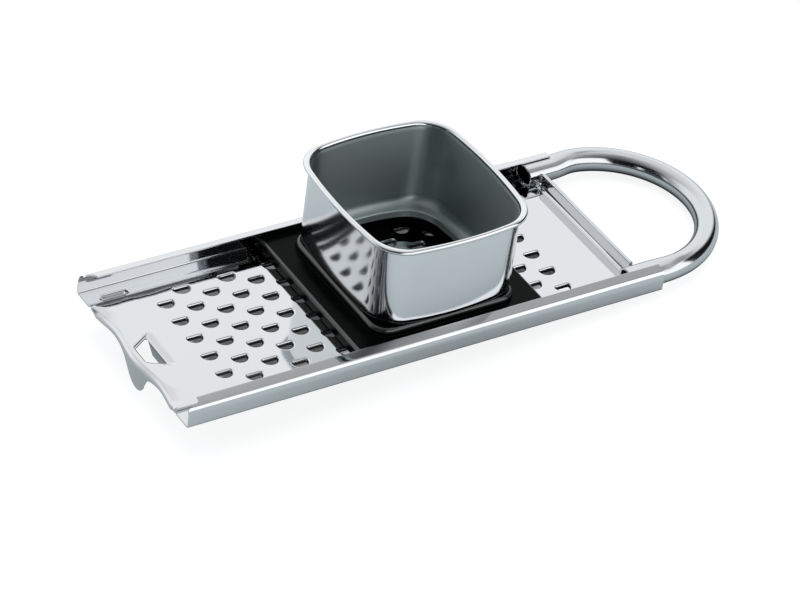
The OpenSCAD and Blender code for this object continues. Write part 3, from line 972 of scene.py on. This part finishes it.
# Painted shade: the paper is a darker grey for rays that are not from the camera.
paper_tone = node(t, MIX, {"data_type": "RGBA", 6: colour("#4E5052"), 7: colour("#8F9294")}, {0: eye_ray})
glow_tone = node(t, MIX, {"data_type": "RGBA", 6: colour("#F1FCFF"), 7: colour("#FCFDFD")}, {0: eye_ray})
paper = node(t, "ShaderNodeBsdfDiffuse", links={"Color": paper_tone.outputs[2]})
glow = node(t, "ShaderNodeEmission", links={"Color": glow_tone.outputs[2], "Strength": glow_level})
added = node(t, "ShaderNodeAddShader", links={0: paper, 1: glow})
node(t, "ShaderNodeOutputMaterial", links={"Surface": added})
ground.data.materials.append(white)
print("floor nodes", len(t.nodes))

# %% [markdown]
# ## Directions in the room
# Polished steel shows its surroundings, so the room is the real light. It is drawn in the world's nodes
# by direction: `east` and `west` are the compass angle, with their seams on opposite sides, and `height`
# is the angle over the horizon, all in degrees.

# %% Directions
TO_DEG = 180 / math.pi
world = bpy.data.worlds.new("white room")
bpy.context.scene.world = world
world.use_nodes = True
t = world.node_tree
t.nodes.clear()
way = node(t, "ShaderNodeSeparateXYZ", links={0: node(t, "ShaderNodeTexCoord").outputs["Generated"]})
bearing = node(t, MATH, {"operation": "ARCTAN2"}, {0: way.outputs["Y"], 1: way.outputs["X"]})
away_y = node(t, MATH, {"operation": "MULTIPLY", 1: -1.0}, {0: way.outputs["Y"]})
away_x = node(t, MATH, {"operation": "MULTIPLY", 1: -1.0}, {0: way.outputs["X"]})
back_bearing = node(t, MATH, {"operation": "ARCTAN2"}, {0: away_y, 1: away_x})
climb = node(t, MATH, {"operation": "ARCSINE"}, {0: way.outputs["Z"]})
east = node(t, MATH, {"operation": "MULTIPLY", 1: TO_DEG}, {0: bearing})
west = node(t, MATH, {"operation": "MULTIPLY", 1: TO_DEG}, {0: back_bearing})
height = node(t, MATH, {"operation": "MULTIPLY", 1: TO_DEG}, {0: climb})

# %% [markdown]
# ## The room
# The camera sees plain white. The steel sees a room like the photographer's: a bright panel on the
# camera's right, a pale wall behind, a ceiling that is light at the back and dim over the camera, and two
# dark places. One is over the camera's left shoulder and the other is far to the right. They draw the
# black bands along the handle. The ceiling comes first, with two soft patches, one dim and one bright.

# %% Ceiling
BACK = math.radians(60)


def patch(azimuth, wide, level, high):
    """A soft round patch on the ceiling, 1 in its middle and 0 at its edge."""
    off = node(t, MATH, {"operation": "SUBTRACT", 1: azimuth}, {0: east})
    over = node(t, MATH, {"operation": "SUBTRACT", 1: level}, {0: height})
    across = node(t, MATH, {"operation": "MULTIPLY", 1: 1.0 / wide}, {0: off})
    upward = node(t, MATH, {"operation": "MULTIPLY", 1: 1.0 / high}, {0: over})
    across_2, upward_2 = [node(t, MATH, {"operation": "MULTIPLY"}, {0: a, 1: a}) for a in (across, upward)]
    far = node(t, MATH, {"operation": "ADD"}, {0: across_2, 1: upward_2})
    return node(t, RANGE, smooth_step(0.5, 1.3, 1.0, 0.0), {"Value": far})


off_back = node(t, MATH, {"operation": "SUBTRACT", 1: BACK}, {0: bearing})
facing = node(t, MATH, {"operation": "COSINE"}, {0: off_back})
to_back = node(t, MATH, {"operation": "MULTIPLY_ADD", 1: 0.5, 2: 0.5}, {0: facing})
back_light = node(t, RANGE, smooth_step(45, 88, 0.80, 0.46), {"Value": height})
base_light = node(t, RANGE, smooth_step(45, 85, 0.07, 0.32), {"Value": height})
plain_ceiling = node(t, MATH, {"operation": "MULTIPLY_ADD"}, {0: to_back, 1: back_light, 2: base_light})
dimmed = node(t, MATH, {"operation": "MULTIPLY_ADD", 1: -0.46, 2: 1.0}, {0: patch(10, 34, 56, 12)})
patched = node(t, MATH, {"operation": "MULTIPLY"}, {0: plain_ceiling, 1: dimmed})
ceiling = node(t, MATH, {"operation": "MULTIPLY_ADD", 1: 0.85}, {0: patch(-37, 13, 46, 8), 2: patched})

# %% [markdown]
# ### Walls
# A place on the wall is the product of two smooth steps, one for each of its sides. Each side is an
# angle, where the step starts and ends, and its level before and after. Some sides lean with the height.

# %% Walls
leaning = node(t, MATH, {"operation": "MULTIPLY", 1: 0.3}, {0: height})
east_lean = node(t, MATH, {"operation": "SUBTRACT"}, {0: east, 1: leaning})
west_lean = node(t, MATH, {"operation": "SUBTRACT"}, {0: west, 1: leaning})
door_lean = node(t, MATH, {"operation": "MULTIPLY_ADD", 1: 0.95}, {0: height, 2: east})
EDGES = {"panel": ((east_lean, -123, -117, 0.0, 1.0), (east, -36, -30, 1.0, 0.0)),
         "doorway": ((east, -36, -30, 0.0, 1.0), (door_lean, 26, 50, 1.0, 0.0)),
         "shoulder": ((west, -52, 8, 0.0, 1.0), (west_lean, 57, 63, 1.0, 0.0))}
areas = {}
for name, edges in EDGES.items():
    left, right = [node(t, RANGE, smooth_step(*step), {"Value": angle}) for angle, *step in edges]
    areas[name] = node(t, MATH, {"operation": "MULTIPLY"}, {0: left, 1: right})
lit = node(t, MATH, {"operation": "MULTIPLY_ADD", 1: 0.32, 2: 0.98}, {0: areas["panel"]})
dark = node(t, MATH, {"operation": "MAXIMUM"}, {0: areas["doorway"], 1: areas["shoulder"]})
open_wall = node(t, MATH, {"operation": "SUBTRACT", 0: 1.0}, {1: dark})
walls = node(t, MATH, {"operation": "MULTIPLY_ADD", 2: 0.008}, {0: lit, 1: open_wall})

# %% [markdown]
# ### World and lamp
# The walls turn to ceiling between 37 and 49 degrees. A weak, wide lamp overhead adds some light that
# no steel mirrors, for the plastic and the floor.

# %% World and lamp
EXPOSURE, LAMP_WATTS, LAMP_SIZE = 1.27, 5.0, 1.2
up = node(t, RANGE, smooth_step(37, 49), {"Value": height})
room = node(t, MIX, {"data_type": "FLOAT"}, {0: up, 2: walls, 3: ceiling})
bright = node(t, MATH, {"operation": "MULTIPLY", 1: EXPOSURE}, {0: room})
sky = node(t, "ShaderNodeBackground", {"Color": colour("#FAFAFB")}, {"Strength": bright})
plain = node(t, "ShaderNodeBackground", {"Color": colour("#FFFFFF"), "Strength": 1.0})
seen = node(t, "ShaderNodeLightPath").outputs["Is Camera Ray"]
mixed = node(t, "ShaderNodeMixShader", links={0: seen, 1: sky, 2: plain})
node(t, "ShaderNodeOutputWorld", links={"Surface": mixed})
lamp = bpy.data.lights.new("overhead", "AREA")
lamp.energy, lamp.size, lamp.color = LAMP_WATTS, LAMP_SIZE, (1, 1, 1)
overhead = bpy.data.objects.new("overhead", lamp)
overhead.location = (0.1, 0.3, 1.4)
overhead.visible_glossy = False
bpy.context.scene.collection.objects.link(overhead)
print("world nodes", len(t.nodes))

# %% [markdown]
# ## The pieces on their bodies
# Each new piece stands for one CAD node, which is hidden, and rides on that node's body.

# %% Bodies
for piece, cad_node, body, slot_name in (
    (tray, "perforated_tray", "frame", "polished_sheet"),
    (handle, "tube_handle", "frame", "polished_tube"),
    (carriage, "carriage", "slider", "black_moulding"),
    (hopper, "hopper", "slider", "brushed_hopper"),
):
    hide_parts(cad_node)
    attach(piece, body)
bpy.context.scene.view_settings.view_transform = "Standard"
